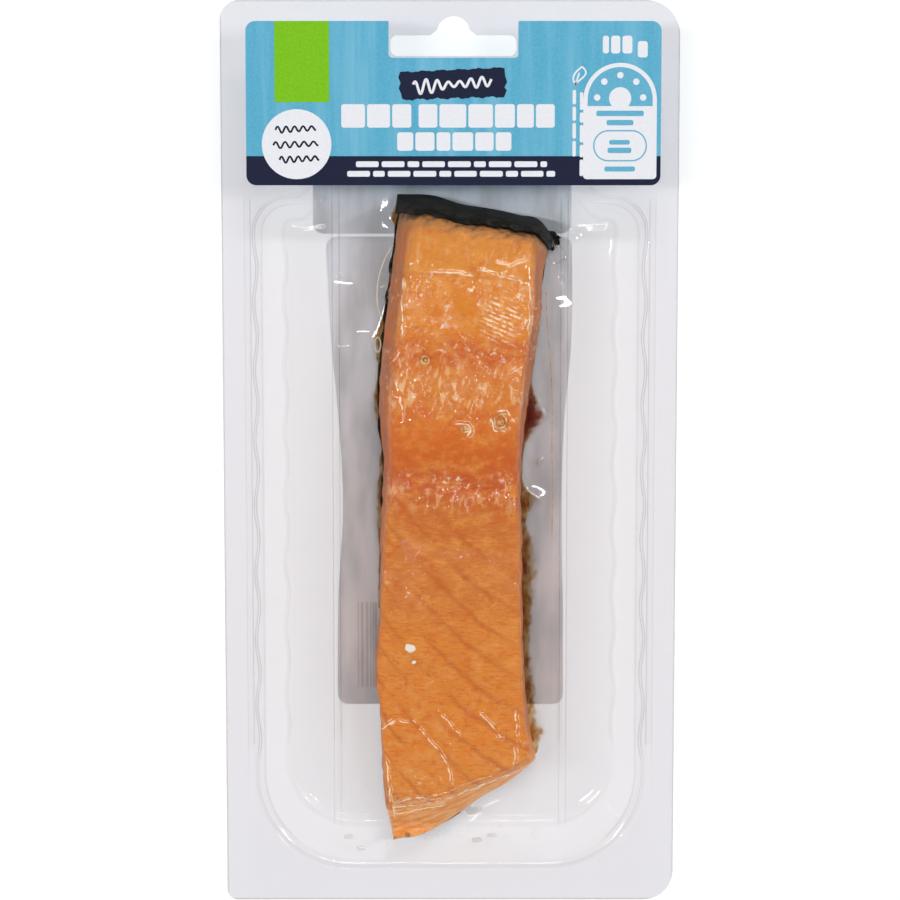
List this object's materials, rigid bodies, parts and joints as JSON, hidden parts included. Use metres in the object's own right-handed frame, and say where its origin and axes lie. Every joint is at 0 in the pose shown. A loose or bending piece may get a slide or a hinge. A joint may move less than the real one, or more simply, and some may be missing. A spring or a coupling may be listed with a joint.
{
  "type": "hot smoked salmon fillet",
  "caption": "Slim salmon strip with dark skin, sealed under clear film in a shallow clear tray with a hanging slot, a printed header label and plain labels on its back.",
  "frame": {"origin": "centre of the pack's outline, at the level that its back labels rest on", "axes": "+Z out of the front of the pack, +Y to its head with the hanging slot, +X to the right of its printed face"},
  "size_m": [0.12, 0.24, 0.0285],
  "materials": {
    "flesh": "moist, flaky hot smoked salmon flesh",
    "skin": "dark moist fish skin",
    "tray": "clear formed plastic sheet",
    "film": "clear glossy sealing film",
    "front_label": "satin printed label, blue with navy, green and white",
    "back_label": "plain white label, seen from behind as grey"
  },
  "bodies": {
    "root": {"flesh": "flesh", "skin": "skin", "tray": "tray", "film": "film", "front_label": "front_label", "back_label_upper": "back_label", "back_label_lower": "back_label"}
  },
  "joints": []
}
